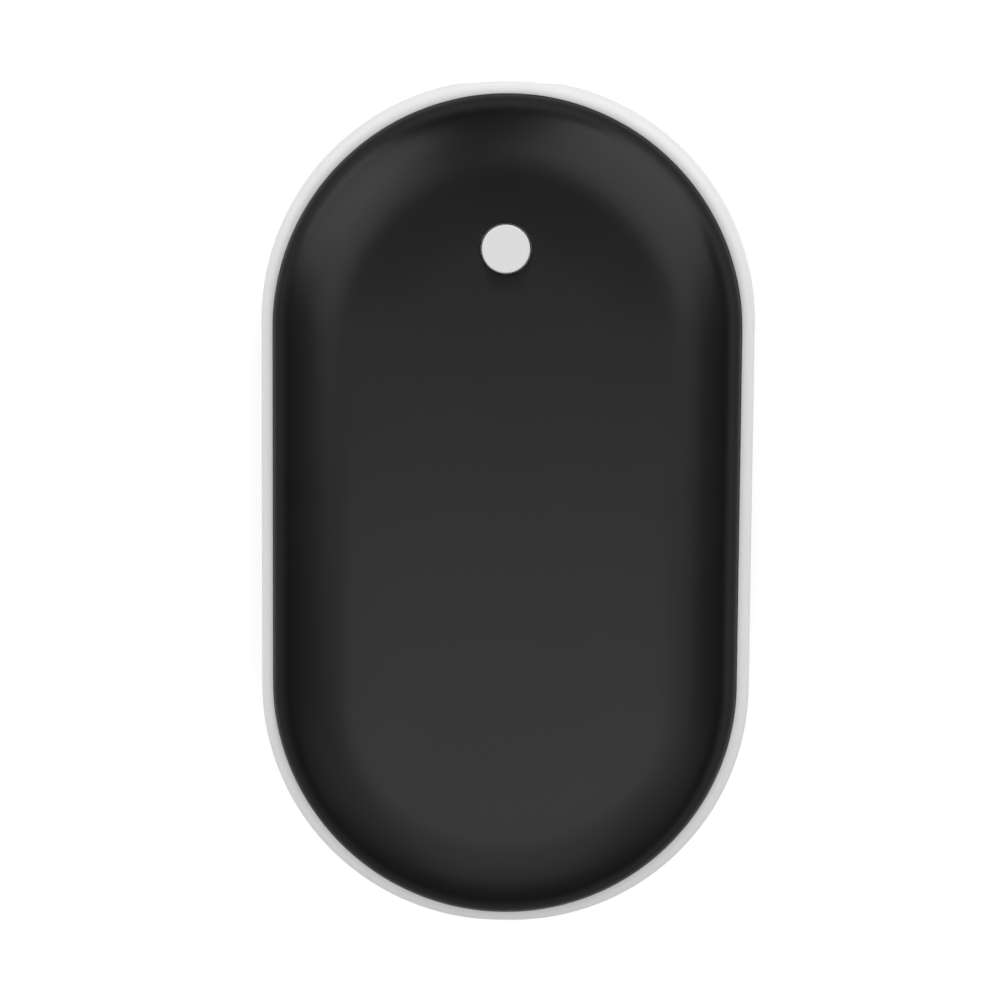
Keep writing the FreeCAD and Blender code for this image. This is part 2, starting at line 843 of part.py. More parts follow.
def switch_plate():
    half = switch_size / 2
    top = plate_bottom_z + switch_plate_sheet
    plate = box(-half, half, switch_y - half, switch_y + half, plate_bottom_z, top)
    return plate.cut(rod(0, switch_y, plate_bottom_z, top, plunger_diameter + 2 * plunger_gap))


def switch_plunger():
    flange_top = plate_bottom_z - plunger_play
    profile = [
        (0, plunger_bottom_z),
        (plunger_flange_diameter / 2, plunger_bottom_z),
        (plunger_flange_diameter / 2, flange_top),
        (plunger_diameter / 2, flange_top),
        (plunger_diameter / 2, plunger_top_z - plunger_chamfer),
        (plunger_diameter / 2 - plunger_chamfer, plunger_top_z),
        (0, plunger_top_z),
    ]
    return spin(profile, 0, switch_y)


def switch_dome():
    # Thin snap disc, a cap of a sphere
    half = dome_diameter / 2
    sphere = (half ** 2 + dome_rise ** 2) / (2 * dome_rise)
    centre_z = dome_seat_z + dome_rise - sphere
    outer = Part.makeSphere(sphere, Vector(0, switch_y, centre_z))
    inner = Part.makeSphere(sphere - dome_thickness, Vector(0, switch_y, centre_z))
    room = rod(0, switch_y, dome_seat_z, dome_seat_z + dome_rise, dome_diameter)
    return outer.cut(inner).common(room)


def switch_legs():
    # Two flat legs on each side, down onto the board
    half = switch_size / 2
    legs = []
    for side in (-1, 1):
        for end in (-1, 1):
            y = switch_y + end * leg_pitch / 2
            inner = side * half
            outer = side * (half + leg_sheet)
            toe = side * (half + leg_length)
            upright = box(min(inner, outer), max(inner, outer), y - leg_width / 2, y + leg_width / 2,
                          board_top_z, board_top_z + switch_cavity_floor)
            foot = box(min(inner, toe), max(inner, toe), y - leg_width / 2, y + leg_width / 2,
                       board_top_z, board_top_z + leg_sheet)
            legs.append(upright.fuse(foot).removeSplitter())
    return Part.makeCompound(legs)


def power_button():
    # Cap through the front cover, a flange that keeps it in, and a stem down to the switch
    r = button_diameter / 2
    corner = button_top_z - button_edge
    outline = [
        line((0, 0, stem_bottom_z), (stem_diameter / 2, 0, stem_bottom_z)),
        line((stem_diameter / 2, 0, stem_bottom_z), (stem_diameter / 2, 0, flange_bottom_z)),
        line((stem_diameter / 2, 0, flange_bottom_z), (flange_diameter / 2, 0, flange_bottom_z)),
        line((flange_diameter / 2, 0, flange_bottom_z), (flange_diameter / 2, 0, flange_top_z)),
        line((flange_diameter / 2, 0, flange_top_z), (r, 0, flange_top_z)),
        line((r, 0, flange_top_z), (r, 0, corner)),
        arc((r - button_edge, corner), button_edge, 0, 90),
        line((r - button_edge, 0, button_top_z), (0, 0, button_top_z)),
        line((0, 0, button_top_z), (0, 0, stem_bottom_z)),
    ]
    face = Part.Face(Part.Wire(outline))
    return face.revolve(Vector(0, 0, 0), Vector(0, 0, 1), 360).translated(Vector(0, switch_y, 0))


# Components
def status_lights():
    places = [(-light_offset, switch_y), (light_offset, switch_y), (0, switch_y + light_offset)]
    return Part.makeCompound([on_board(light_size, x, y) for x, y in places])


def power_coil():
    # Moulded choke with rounded upright corners
    body = on_board(coil_size, coil_x, front_place(coil_size, coil_x, 0))
    upright = [edge for edge in body.Edges if edge.BoundBox.ZLength > coil_round]
    return body.makeFillet(coil_round, upright)


def leaded_chip(size, x, y, lead_count):
    # Package with a row of flat leads along two sides
    half = size[1] / 2
    shape = on_board(size, x, y)
    leads = []
    for index in range(lead_count):
        middle = x + (index - (lead_count - 1) / 2) * chip_lead_pitch
        near = middle - chip_lead_width / 2
        far = middle + chip_lead_width / 2
        leads.append(box(near, far, y - half - chip_lead_reach, y + half + chip_lead_reach,
                         board_top_z, board_top_z + chip_lead_sheet))
    return shape.fuse(leads).removeSplitter()


def grid_of(size, place, pitch, count, column_pitch=0, columns=1):
    # Equal components under the board, in columns along Y
    parts = []
    for column in range(columns):
        for row in range(count):
            x = place[0] + column * column_pitch
            y = switch_y + place[1] + row * pitch
            parts.append(under_board(on_board(size, x, y)))
    return Part.makeCompound(parts)


def control_chip():
    y = front_place(chip_size, chip_x, chip_lead_reach)
    return leaded_chip(chip_size, chip_x, y, chip_lead_count)


def charger_chip():
    x, y = charger_place
    return under_board(leaded_chip(charger_size, x, switch_y + y, charger_lead_count))


# Heaters, foam and sensor
def crowned_pad(depth, low, reach):
    # Room under the middle of the front cover, from a depth below its face down to a flat
    turn = math.degrees(math.asin((reach - flat_r) / crown_radius))
    radius = crown_radius - depth
    top = body_thickness - depth
    rim_r = flat_r + radius * math.sin(math.radians(turn))
    rim_z = crown_centre_z + radius * math.cos(math.radians(turn))
    section = [
        line((0, 0, top), (flat_r, 0, top)),
        arc((flat_r, crown_centre_z), radius, 90, 90 - turn),
        line((rim_r, 0, rim_z), (rim_r, 0, low)),
        line((rim_r, 0, low), (0, 0, low)),
        line((0, 0, low), (0, 0, top)),
    ]
    return around(Part.Face(Part.Wire(section)))


def heater_film():
    # Film that follows the crown, as the front cover has it
    under = crowned_pad(cover_wall + heater_thickness, carrier_face_z, heater_r + heater_thickness)
    return crowned_pad(cover_wall, carrier_face_z, heater_r).cut(under)


def foam_pad():
    return crowned_pad(cover_wall + heater_thickness, carrier_face_z, heater_r - foam_inset)


def rear_heater():
    return turned_over(heater_film())


def front_heater():
    room = stadium(heater_r, -end_y - heater_r, front_heater_end, carrier_face_z, body_thickness)
    return heater_film().common(room)


def rear_foam():
    pad = turned_over(foam_pad())
    groove = sensor_lead_diameter + 2 * lead_slot_gap
    pocket = sensor_diameter + 2 * lead_slot_gap
    edge = end_y + heater_r
    cuts = [
        box(-pocket / 2, pocket / 2, sensor_y - sensor_length, sensor_y + sensor_length,
            heater_top_z, chassis_back_z),
        box(-groove / 2, groove / 2, sensor_y, edge, heater_top_z, chassis_back_z),
    ]
    for side in (-1, 1):
        x = side * rear_lead_x
        cuts.append(lead_groove(x, rear_lead_start, edge, heater_top_z, chassis_back_z))
    return pad.cut(cuts)


def lead_groove(x, start, end, z0, z1):
    # Room in the foam for a heater lead
    half = heater_lead_diameter / 2 + lead_slot_gap
    return box(x - half, x + half, start - half, end + half, z0, z1)


def front_foam():
    r = heater_r - foam_inset
    room = stadium(r, -end_y - r, front_heater_end - foam_inset, carrier_face_z, body_thickness)
    pad = foam_pad().common(room)
    cuts = []
    for side in (-1, 1):
        x = side * front_lead_x
        cuts.append(lead_groove(x, front_lead_start, front_lead_y, carrier_face_z, cover_inner_z))
    return pad.cut(cuts)


def thermistor():
    # Bead lying on the rear film, with round ends
    r = sensor_diameter / 2
    z = heater_top_z + r
    body = rod_along_y(0, sensor_y - sensor_length / 2, sensor_y + sensor_length / 2 - r, z, sensor_diameter)
    return body.fuse(Part.makeSphere(r, Vector(0, sensor_y - sensor_length / 2, z))).removeSplitter()


# Leads, each along its own route
def sensor_lead():
    z = heater_top_z + sensor_diameter / 2
    points = [
        (0, sensor_y + sensor_length / 2 - sensor_diameter / 2, z),
        (0, sensor_lead_y, z),
        (0, sensor_lead_y, board_bottom_z),
    ]
    return lead(points, sensor_lead_diameter, sensor_lead_bend)


def rear_heater_leads():
    z = heater_top_z + heater_lead_diameter / 2 + solder_height
    wires = []
    for side in (-1, 1):
        x = side * rear_lead_x
        points = [(x, rear_lead_start, z), (x, rear_lead_y, z), (x, rear_lead_y, board_bottom_z)]
        wires.append(lead(points, heater_lead_diameter, heater_lead_bend))
    return Part.makeCompound(wires)


def front_heater_leads():
    z = cover_inner_z - heater_thickness - heater_lead_diameter / 2 - solder_height
    wires = []
    for side in (-1, 1):
        x = side * front_lead_x
        points = [(x, front_lead_start, z), (x, front_lead_y, z), (x, front_lead_y, board_top_z)]
        wires.append(lead(points, heater_lead_diameter, heater_lead_bend))
    return Part.makeCompound(wires)


def positive_lead():
    start_y = strip_front_y + strip_thickness
    z = mid_z + strip_width / 2 - lead_diameter
    points = [
        (-cell_x, start_y, z),
        (-cell_x, start_y + positive_lead_run, z),
        (-cell_x, start_y + positive_lead_run, board_top_z),
    ]
    return lead(points, lead_diameter, lead_bend)


def negative_lead():
    # From the rear strip along the valley between the cells, over the front strip and down to the board
    valley_z = mid_z + negative_lead_lift
    over_z = mid_z + strip_width / 2 + lead_diameter
    end_place = board_back_y + negative_lead_from_edge
    points = [
        (0, cell_back_y, valley_z),
        (0, board_back_y - negative_lead_climb, valley_z),
        (0, board_back_y, over_z),
        (negative_lead_x, end_place, over_z - lead_diameter),
        (negative_lead_x, end_place, board_top_z),
    ]
    return lead(points, lead_diameter, lead_bend)


nodes = {
    "front_cover": front_cover(),
    "rear_cover": rear_cover(),
    "front_bond": front_bond(),
    "rear_bond": rear_bond(),
    "mid_frame": mid_frame(),
    "cell_tray": cell_tray(),
    "cell_carrier": cell_carrier(),
    "clamp_screws": clamp_screws(),
    "left_cell": cell(-cell_x),
    "right_cell": cell(cell_x),
    "cell_washers": cell_washers(),
    "positive_strip": strip(strip_front_y),
    "negative_strip": strip(cell_back_y - strip_thickness),
    "main_board": main_board(),
    "board_screws": board_screws(),
    "port_shell": port_shell(),
    "port_body": port_body(),
    "port_contacts": port_contacts(),
    "switch_base": switch_base(),
    "switch_plate": switch_plate(),
    "switch_plunger": switch_plunger(),
    "switch_dome": switch_dome(),
    "switch_legs": switch_legs(),
    "power_button": power_button(),
    "status_lights": status_lights(),
    "power_coil": power_coil(),
    "control_chip": control_chip(),
    "charger_chip": charger_chip(),
    "heater_transistors": grid_of(transistor_size, transistor_place, transistor_pitch, transistor_count),
    "board_capacitors": grid_of(capacitor_size, capacitor_place, capacitor_pitch, capacitor_count),
    "board_resistors": grid_of(resistor_size, resistor_place, resistor_pitch, resistor_count,
                               resistor_column, resistor_count),
    "front_heater": front_heater(),
    "rear_heater": rear_heater(),
    "front_foam": front_foam(),
    "rear_foam": rear_foam(),
    "thermistor": thermistor(),
    "sensor_lead": sensor_lead(),
    "rear_heater_leads": rear_heater_leads(),
    "front_heater_leads": front_heater_leads(),
    "positive_lead": positive_lead(),
    "negative_lead": negative_lead(),
}

os.makedirs("parts", exist_ok=True)
for name, shape in nodes.items():
    shape.exportStep("parts/" + name + ".step")
    state = "valid" if shape.isValid() else "not valid"
    print(name, len(shape.Solids), "solids", round(shape.Volume, 2), "mm3", state)
print("body", round(body_length, 2), "x", round(body_width, 2), "x", round(body_thickness, 2), "mm")
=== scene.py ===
import math

import bpy
from mathutils import Matrix, Vector


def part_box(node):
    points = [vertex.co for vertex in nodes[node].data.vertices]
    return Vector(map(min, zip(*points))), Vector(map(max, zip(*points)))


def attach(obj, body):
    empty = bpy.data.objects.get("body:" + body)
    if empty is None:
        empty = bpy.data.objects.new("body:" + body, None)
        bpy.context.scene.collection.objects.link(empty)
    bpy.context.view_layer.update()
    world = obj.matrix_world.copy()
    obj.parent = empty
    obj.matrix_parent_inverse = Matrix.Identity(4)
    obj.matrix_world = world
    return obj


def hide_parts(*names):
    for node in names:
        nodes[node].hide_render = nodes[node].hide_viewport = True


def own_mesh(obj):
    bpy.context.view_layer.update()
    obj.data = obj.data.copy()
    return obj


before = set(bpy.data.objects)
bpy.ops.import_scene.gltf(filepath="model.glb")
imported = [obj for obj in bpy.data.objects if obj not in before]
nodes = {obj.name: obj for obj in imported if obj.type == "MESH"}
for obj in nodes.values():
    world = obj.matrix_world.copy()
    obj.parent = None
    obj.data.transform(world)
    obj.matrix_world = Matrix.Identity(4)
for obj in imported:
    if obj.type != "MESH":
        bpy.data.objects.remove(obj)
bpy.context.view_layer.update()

mm = 0.001
print("frame loaded,", len(nodes), "nodes")


class Wire:  # a node's output: a sum on it lays Math nodes in the same tree
    def __init__(self, bench, socket):
        self.bench = bench
        self.socket = socket

    def maths(self, operation, *others):
        return self.bench.node("ShaderNodeMath", {"operation": operation}, (self,) + others)

    def turned(self, operation, first):  # the same sum with this wire second
        return self.bench.node("ShaderNodeMath", {"operation": operation}, (first, self))

    def other(self, name):
        return Wire(self.bench, self.socket.node.outputs[name])

    def between(self, low, high):  # 0 at low, 1 at high, eased
        return self.bench.node("ShaderNodeMapRange", {"interpolation_type": "SMOOTHSTEP"},
                               {"Value": self, "From Min": low, "From Max": high})

    def __add__(self, other):
        return self.maths("ADD", other)

    def __radd__(self, other):
        return self.turned("ADD", other)

    def __sub__(self, other):
        return self.maths("SUBTRACT", other)

    def __rsub__(self, other):
        return self.turned("SUBTRACT", other)

    def __mul__(self, other):
        return self.maths("MULTIPLY", other)

    def __rmul__(self, other):
        return self.turned("MULTIPLY", other)

    def __truediv__(self, other):
        return self.maths("DIVIDE", other)

    def __mod__(self, other):
        return self.maths("FLOORED_MODULO", other)

    def __gt__(self, other):
        return self.maths("GREATER_THAN", other)

    def __lt__(self, other):
        return self.maths("LESS_THAN", other)

    def __abs__(self):
        return self.maths("ABSOLUTE")

    def __floor__(self):
        return self.maths("FLOOR")


class Bench:  # one node tree, shader or geometry
    def __init__(self, tree):
        self.tree = tree

    def node(self, kind, settings=None, sockets=None, out=0):
        item = self.tree.nodes.new(kind)
        for name, value in (settings or {}).items():
            setattr(item, name, value)
        pairs = sockets.items() if isinstance(sockets, dict) else enumerate(sockets or ())
        for key, value in pairs:
            self.plug(item.inputs[key], value)
        return Wire(self, item.outputs[out]) if item.outputs else item

    def plug(self, target, value):
        for one in value if isinstance(value, list) else [value]:
            if isinstance(one, Wire):
                self.tree.links.new(one.socket, target)
            else:
                target.default_value = one

    def mixed(self, share, first, second):  # colours
        return self.node("ShaderNodeMix", {"data_type": "RGBA"}, {0: share, 6: first, 7: second}, 2)

    def noise(self, place, scale, detail=2, roughness=0.5):
        return self.node("ShaderNodeTexNoise", None, {"Vector": place, "Scale": scale, "Detail": detail,
                                                      "Roughness": roughness})

    def bump(self, height, distance, strength):
        return self.node("ShaderNodeBump", None, {"Strength": strength, "Distance": distance,
                                                  "Height": height})


def grey(level):
    return (level, level, level, 1)


def newMaterial(name):
    material = bpy.data.materials.new(name)
    material.use_nodes = True
    bench = Bench(material.node_tree)
    shader = next(item for item in material.node_tree.nodes if item.type == "BSDF_PRINCIPLED")
    place = bench.node("ShaderNodeTexCoord").other("Object")
    return material, bench, shader, place


def setShader(bench, shader, **values):
    for name, value in values.items():
        bench.plug(shader.inputs[name.replace("_", " ")], value)


# Camera: found from the outline, the black edge and the button in the photograph
cameraSettings = {
    "place": (9.324, 49.866, 409.274),
    "aim": (-1.452, 1.134, 12.398),
    "roll": 0.392,
    "angle": 17.5403,
}


def makeCamera(settings):
    place = Vector(settings["place"]) * mm
    back = (place - Vector(settings["aim"]) * mm).normalized()
    roll = math.radians(settings["roll"])
    right = Vector((-math.sin(roll), math.cos(roll), 0)).cross(back).normalized()
    up = back.cross(right)
    lens = bpy.data.cameras.new("photoCamera")
    lens.sensor_width = 36
    lens.angle = math.radians(settings["angle"])
    lens.clip_start = 0.01
    camera = bpy.data.objects.new("photoCamera", lens)
    camera.matrix_world = Matrix.Translation(place) @ Matrix((right, up, back)).transposed().to_4x4()
    bpy.context.scene.collection.objects.link(camera)
    bpy.context.scene.camera = camera


makeCamera(cameraSettings)
print("camera placed")


# The whole housing follows one outline: a spine along Y with round ends. A profile drawn out from
# the spine is carried round it. A profile point holds its reach, its corner step and its height.
def outlineTree(name, cutCount=0, addCount=0):
    tree = bpy.data.node_groups.new(name, "GeometryNodeTree")
    tree.is_modifier = True
    wanted = [("Profile", "Geometry"), ("Half Spine", "Float"), ("Rows", "Int"), ("Quarter Steps", "Int"),
              ("Finish", "Material")]
    wanted += [("Added " + str(index + 1), "Object") for index in range(addCount)]
    wanted += [("Cutter " + str(index + 1), "Object") for index in range(cutCount)]
    for label, kind in wanted:
        tree.interface.new_socket(name=label, in_out="INPUT", socket_type="NodeSocket" + kind)
    tree.interface.new_socket(name="Piece", in_out="OUTPUT", socket_type="NodeSocketGeometry")
    bench = Bench(tree)
    given = bench.node("NodeGroupInput")
    rows = given.other("Rows")
    steps = given.other("Quarter Steps")
    turnCount = (steps + 1) * 4
    sheet = bench.node("GeometryNodeMeshGrid", None, {"Vertices X": turnCount + 1, "Vertices Y": rows})
    index = bench.node("GeometryNodeInputIndex")
    column = math.floor(index / rows) % turnCount
    quarter = math.floor(column / (steps + 1))
    turn = (column - quarter) * (math.pi / 2) / steps
    sideX = 1 - 2 * ((quarter > 0.5) * (quarter < 2.5))
    sideY = 1 - 2 * (quarter > 1.5)
    place = bench.node("GeometryNodeInputPosition")
    point = bench.node("GeometryNodeSampleIndex", {"data_type": "FLOAT_VECTOR", "domain": "POINT"},
                       {"Geometry": given.other("Profile"), "Value": place, "Index": index % rows})
    reach = bench.node("ShaderNodeSeparateXYZ", None, [point])
    step = reach.other("Y")
    out = reach - step
    spot = bench.node("ShaderNodeCombineXYZ", None, [
        sideX * step + out * turn.maths("COSINE"),
        sideY * (given.other("Half Spine") + step) + out * turn.maths("SINE"),
        reach.other("Z")])
    carried = bench.node("GeometryNodeSetPosition", None, {"Geometry": sheet, "Position": spot})
    shape = bench.node("GeometryNodeMergeByDistance", None, {"Geometry": carried, "Distance": 1e-7})
    for count, operation, label in ((addCount, "UNION", "Added "), (cutCount, "DIFFERENCE", "Cutter ")):
        for number in range(count):
            chosen = given.other(label + str(number + 1))
            tool = bench.node("GeometryNodeObjectInfo", None, {"Object": chosen})
            if operation == "UNION":
                pair = {"Mesh 2": [shape, tool.other("Geometry")]}
            else:
                pair = {"Mesh 1": shape, "Mesh 2": tool.other("Geometry")}
            shape = bench.node("GeometryNodeMeshBoolean", {"operation": operation, "solver": "EXACT"}, pair)
    real = bench.node("GeometryNodeRealizeInstances", None, {"Geometry": shape})
    done = bench.node("GeometryNodeSetMaterial", None, {"Geometry": real, "Material": given.other("Finish")})
    bench.node("NodeGroupOutput", None, [done])
    return tree


def setInputs(modifier, values):
    for item in modifier.node_group.interface.items_tree:
        if item.item_type == "SOCKET" and item.in_out == "INPUT" and item.name in values:
            modifier[item.identifier] = values[item.name]


def newObject(name, shape):
    piece = bpy.data.objects.new(name, shape)
    bpy.context.scene.collection.objects.link(piece)
    return piece


def signedVolume(shape):
    total = 0.0
    shape.calc_loop_triangles()
    for face in shape.loop_triangles:
        a, b, c = (shape.vertices[corner].co for corner in face.vertices)
        total += a.dot(b.cross(c)) / 6
    return total


def bake(piece, turn=None, sharp=28):
    graph = bpy.context.evaluated_depsgraph_get()
    shape = bpy.data.meshes.new_from_object(piece.evaluated_get(graph))
    piece.modifiers.clear()
    old = piece.data
    piece.data = shape
    bpy.data.meshes.remove(old)
    shape.name = piece.name
    if turn is not None:
        shape.transform(turn)
    if signedVolume(shape) < 0:
        shape.flip_normals()
    shape.polygons.foreach_set("use_smooth", [True] * len(shape.polygons))
    shape.set_sharp_from_angle(angle=math.radians(sharp))
    return piece


trees = {}


def carry(name, profile, spine, finish, steps, turn=None, cutters=(), added=()):
    key = (len(cutters), len(added))
    if key not in trees:
        trees[key] = outlineTree("carryRound", *key)
    shape = bpy.data.meshes.new(name)
    points = [(p[0] * mm, (p[2] if len(p) > 2 else 0) * mm, p[1] * mm) for p in profile]
    shape.from_pydata(points, [(i, i + 1) for i in range(len(points) - 1)], [])
    piece = newObject(name, shape)
    modifier = piece.modifiers.new("carryRound", "NODES")
    modifier.node_group = trees[key]
    values = {"Half Spine": spine * mm, "Rows": len(points), "Quarter Steps": steps, "Finish": finish}
    for number, tool in enumerate(cutters):
        values["Cutter " + str(number + 1)] = tool
    for number, tool in enumerate(added):
        values["Added " + str(number + 1)] = tool
    setInputs(modifier, values)
    bake(piece, turn)
    for tool in list(cutters) + list(added):
        bpy.data.objects.remove(tool)
    return piece


def arc(centre, radius, start, end, count, step=0):
    points = []
    for index in range(count + 1):
        turn = math.radians(start + (end - start) * index / count)
        points.append((centre[0] + radius * math.cos(turn), centre[1] + radius * math.sin(turn), step))
    return points


def place(piece, body, slot, *replaced):
    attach(piece, body)
    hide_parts(*replaced)


# Black anodised coat of the covers: a fine blasted grain under an even dark dye
coatSettings = {
    "dark": 0.0235, "light": 0.0275, "roughness": 0.31, "roughnessSpread": 0.05,
    "cloud": 90, "grain": 5200, "grainDepth": 0.004, "edgeTint": 0.46,
}


def makeCoat(settings):
    material, bench, shader, where = newMaterial("blackAnodised")
    cloud = bench.noise(where, settings["cloud"], 4)
    grain = bench.noise(where, settings["grain"], 2, 0.6)
    shade = settings["dark"] + (settings["light"] - settings["dark"]) * (0.7 * cloud + 0.3 * grain)
    colour = bench.node("ShaderNodeCombineColor", None, [shade, shade, shade * 1.01])
    rough = settings["roughness"] + settings["roughnessSpread"] * (cloud - 0.5) + 0.04 * (grain - 0.5)
    setShader(bench, shader, Base_Color=colour, Roughness=rough, Metallic=1.0,
              Specular_Tint=grey(settings["edgeTint"]),
              Normal=bench.bump(grain, settings["grainDepth"] * mm, 0.6))
    return material


# Moulded white plastic, for the band and the button
plasticSettings = {
    "band": {"dark": 0.67, "light": 0.70, "shine": 0.25, "roughness": 0.50, "cloud": 60, "grain": 3600,
             "depth": 0.003},
    "button": {"dark": 0.585, "light": 0.62, "shine": 0.4, "roughness": 0.36, "cloud": 60, "grain": 5200,
               "depth": 0.002},
}


def makePlastic(name, settings):
    material, bench, shader, where = newMaterial(name)
    cloud = bench.noise(where, settings["cloud"], 3)
    grain = bench.noise(where, settings["grain"], 3, 0.6)
    shade = settings["dark"] + (settings["light"] - settings["dark"]) * (0.6 * cloud + 0.4 * grain)
    colour = bench.node("ShaderNodeCombineColor", None, [shade, shade, shade])
    rough = settings["roughness"] + 0.08 * (grain - 0.5) + 0.06 * (cloud - 0.5)
    setShader(bench, shader, Base_Color=colour, Roughness=rough, Specular_IOR_Level=settings["shine"],
              Normal=bench.bump(grain, settings["depth"] * mm, 0.5))
    return material


# Covers: drawn shells of even wall, with a flat middle, a soft crown, a full shoulder and a round edge
coverSettings = {"wall": 0.8, "crownAngle": 5.4, "crownRise": 0.38, "shoulderAngle": 31.5,
                 "shoulderRise": 2.6, "skirt": 0.8, "footRound": 0.12, "holeGap": 0.2, "holeRound": 0.16,
                 "holePast": 1.0}


def coverProfile(radius, foot, top, settings):
    wall = settings["wall"]
    gentle, steep = math.radians(settings["crownAngle"]), math.radians(settings["shoulderAngle"])
    low = foot + settings["skirt"]
    edgeRadius = (top - low - settings["crownRise"] - settings["shoulderRise"]) / math.cos(steep)
    shoulderRadius = settings["shoulderRise"] / (math.cos(gentle) - math.cos(steep))
    crownRadius = settings["crownRise"] / (1 - math.cos(gentle))
    edge = (radius - edgeRadius, low)
    more = edgeRadius - shoulderRadius
    shoulder = (edge[0] + more * math.sin(steep), low + more * math.cos(steep))
    flat = shoulder[0] + (shoulderRadius - crownRadius) * math.sin(gentle)
    crown = (flat, top - crownRadius)
    first, second = 90 - settings["shoulderAngle"], 90 - settings["crownAngle"]
    soft = settings["footRound"]
    points = [(radius - wall, foot), (radius - soft, foot)]
    points += arc((radius - soft, foot + soft), soft, -60, 0, 3)
    points += [(radius, foot + 0.5 * (low - foot))]
    points += arc(edge, edgeRadius, 0, first, 24)
    points += arc(shoulder, shoulderRadius, first, second, 20)[1:]
    points += arc(crown, crownRadius, second, 90, 10)[1:]
    points += [(0.5 * flat, top), (0, top), (0, top - wall), (0.5 * flat, top - wall)]
    points += arc(crown, crownRadius - wall, 90, second, 6)
    points += arc(shoulder, shoulderRadius - wall, second, first, 8)[1:]
    points += arc(edge, edgeRadius - wall, first, 0, 12)[1:]
    points += [(radius - wall, foot)]
    return points


def makeCovers(settings, finish):
    low, high = (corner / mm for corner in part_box("front_cover"))
    radius, top = high.x, high.z
    spine = high.y - radius
    buttonLow, buttonHigh = (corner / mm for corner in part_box("power_button"))
    axis = (buttonLow.y + buttonHigh.y) / 2
    hole = buttonSettings["diameter"] / 2 + settings["holeGap"]
    soft = settings["holeRound"]
    cut = [(0, low.z), (hole, low.z)] + arc((hole + soft, top - soft), soft, 180, 90, 5)
    past = top + settings["holePast"]
    cut += [(hole + soft, past), (0, past)]
    cutter = carry("buttonHole", cut, 0, finish, 32, Matrix.Translation((0, axis * mm, 0)))
    profile = coverProfile(radius, low.z, top, settings)
    front = carry("frontCover", profile, spine, finish, 64, cutters=[cutter])
    place(front, "housing", "black_coat", "front_cover")
    middle = sum(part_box("mid_frame"), Vector()) / 2
    over = Matrix.Translation((0, 0, 2 * middle.z)) @ Matrix.Rotation(math.pi, 4, "Y")
    rear = carry("rearCover", profile, spine, finish, 64, turn=over)
    place(rear, "housing", "black_coat", "rear_cover")


# Band: softly bellied outside on its own squarer corners, a ledge and a lip for each cover
bandSettings = {"square": 0.7, "crownAngle": 12.0, "land": 0.1, "seamGap": 0.12, "height": 8.6,
                "ledge": 0.8, "lipHeight": 1.3, "lipWall": 1.0, "lipGap": 0.1, "lipBevel": 0.3,
                "seamRound": 0.05}
lugSettings = {"place": (23.1, 15.0), "diameter": 5.0, "height": 5.0, "hole": 2.3, "boreRoot": 0.2}
portSettings = {"width": 8.94, "height": 3.26, "sheet": 0.3, "gap": 0.2, "leadIn": 0.22,
                "lipRound": 0.12, "flatWidth": 13.0, "flatHeight": 6.0, "flatDepth": 0.8,
                "flatRound": 0.3, "flatDraft": 0.1, "cutDepth": 6.0, "cutPast": 0.2}


def bandProfile(radius, coverRadius, wall, middle, settings):
    step = settings["square"]
    half = settings["height"] / 2
    outer = radius - step
    inner = coverRadius + settings["seamGap"] + settings["land"] - step
    turn = math.radians(settings["crownAngle"])
    slope = math.tan(turn / 2)
    corner = (outer - inner - slope * half) / (math.cos(turn) - slope * (1 - math.sin(turn)))
    belly = (half - corner * (1 - math.sin(turn))) / math.sin(turn)
    top = middle + half
    rabbet = coverRadius + settings["seamGap"]
    lip = coverRadius - wall - settings["lipGap"]
    inside = lip - settings["lipWall"]
    soft = settings["seamRound"]
    bevel = settings["lipBevel"]
    ledge = top - settings["ledge"]
    lipTop = top + settings["lipHeight"]
    upper = arc((inner, top - corner), corner, settings["crownAngle"], 90, 14, step)
    upper = [(x + step, z, s) for x, z, s in upper]
    upper += arc((rabbet + soft, top - soft), soft, 90, 180, 3)
    upper += [(rabbet, ledge), (lip, ledge), (lip, lipTop - bevel), (lip - bevel, lipTop), (inside, lipTop)]
    lower = [(p[0], 2 * middle - p[1]) + tuple(p[2:]) for p in upper]
    lean = settings["crownAngle"]
    around = arc((outer - belly + step, middle), belly, -lean, lean, 16, step)
    return list(reversed(lower)) + around[1:-1] + upper + [lower[-1]]


def alongY(y, z):  # a piece carried round its outline, laid so that it runs along Y
    return Matrix.Translation((0, y, z)) @ Matrix(((0, 1, 0, 0), (0, 0, 1, 0), (1, 0, 0, 0), (0, 0, 0, 1)))


